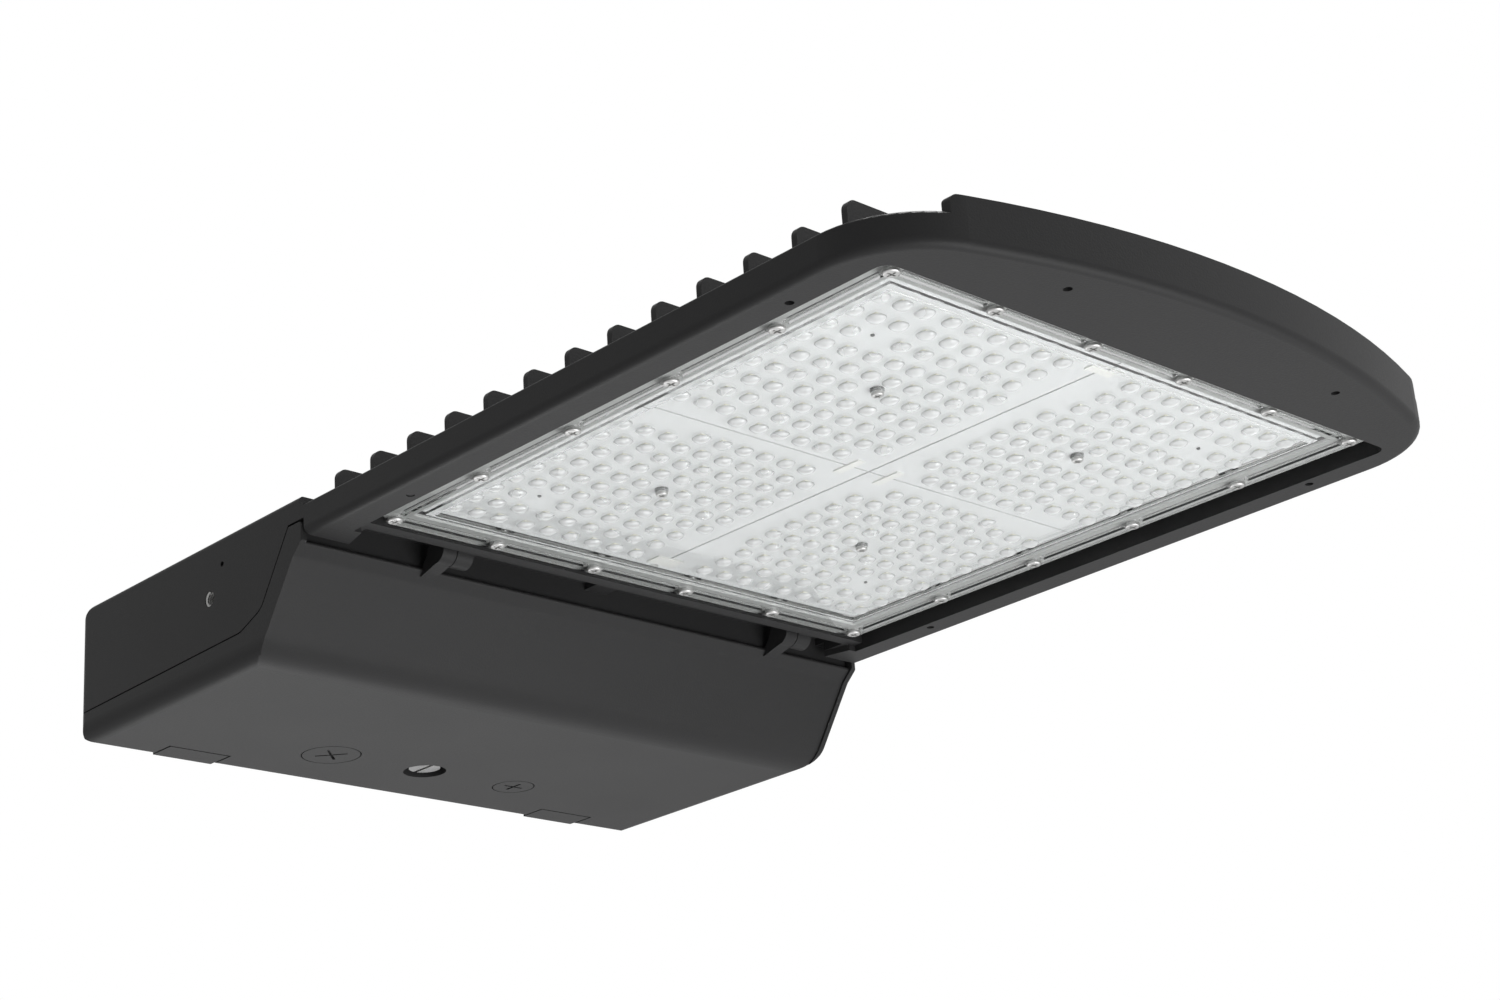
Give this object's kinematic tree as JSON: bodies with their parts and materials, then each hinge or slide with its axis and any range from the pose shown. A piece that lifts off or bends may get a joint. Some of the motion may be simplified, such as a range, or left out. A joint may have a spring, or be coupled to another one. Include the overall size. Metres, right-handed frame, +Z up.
{
  "type": "area light",
  "caption": "Shoebox area light for a car park or yard: slim finned head with a clear domed LED panel and a driver compartment with a hinged door behind it.",
  "frame": {"origin": "centre of the arm mount's bolt pattern on the rear face", "axes": "+Y out of the rear face towards the arm, +Z up when the light shines down, +X to the right seen from behind the nose looking at the arm"},
  "size_m": [0.362, 0.6013, 0.0775],
  "materials": {
    "casting": "fine-textured dark bronze powder coat",
    "clear_optic": "clear moulded panel",
    "stainless": "bright stainless steel",
    "zinc_sheet": "zinc-plated sheet steel",
    "white_board": "white solder mask",
    "light_source": "yellow phosphor",
    "white_nylon": "white moulded nylon",
    "clear_silicone": "pale silicone",
    "black_rubber": "black foam rubber",
    "driver_case": "pale grey enamel",
    "black_plastic": "black moulded plastic",
    "lead_black": "black insulation",
    "lead_white": "white insulation"
  },
  "bodies": {
    "head": {"head_housing": "casting", "hinge_pins": "stainless", "lens_cover": "clear_optic", "lens_gasket": "clear_silicone", "led_board_rear_left": "white_board", "led_board_rear_right": "white_board", "led_board_front_left": "white_board", "led_board_front_right": "white_board", "led_chips": "light_source", "board_connectors": "white_nylon", "lens_screws": "stainless", "board_screws": "stainless", "driver_tray": "zinc_sheet", "driver_front_unit": "driver_case", "driver_rear_unit": "driver_case", "surge_protector": "black_plastic", "terminal_block": "black_plastic", "terminal_screws": "stainless", "tray_screws": "stainless", "driver_screws": "stainless", "surge_screws": "stainless", "ground_screw": "stainless", "supply_leads": "lead_black", "output_leads": "lead_white", "wire_grommet": "black_rubber", "arm_gasket": "black_rubber"},
    "door": {"driver_door": "casting", "door_gasket": "black_rubber", "large_plug": "casting", "large_plug_seal": "black_rubber", "small_plug": "casting", "small_plug_seal": "black_rubber"},
    "captive_screw": {"door_screw": "stainless", "door_screw_ring": "white_nylon"}
  },
  "joints": [
    {"name": "door_hinge", "type": "hinge", "parent": "head", "child": "door", "pos_m": [0, -0.201, 0.0175], "axis": [-1, 0, 0], "range_deg": [0, 95]},
    {"name": "door_screw_turn", "type": "hinge", "parent": "door", "child": "captive_screw", "pos_m": [0, -0.045, -0.034], "axis": [0, 0, 1], "continuous": true}
  ]
}
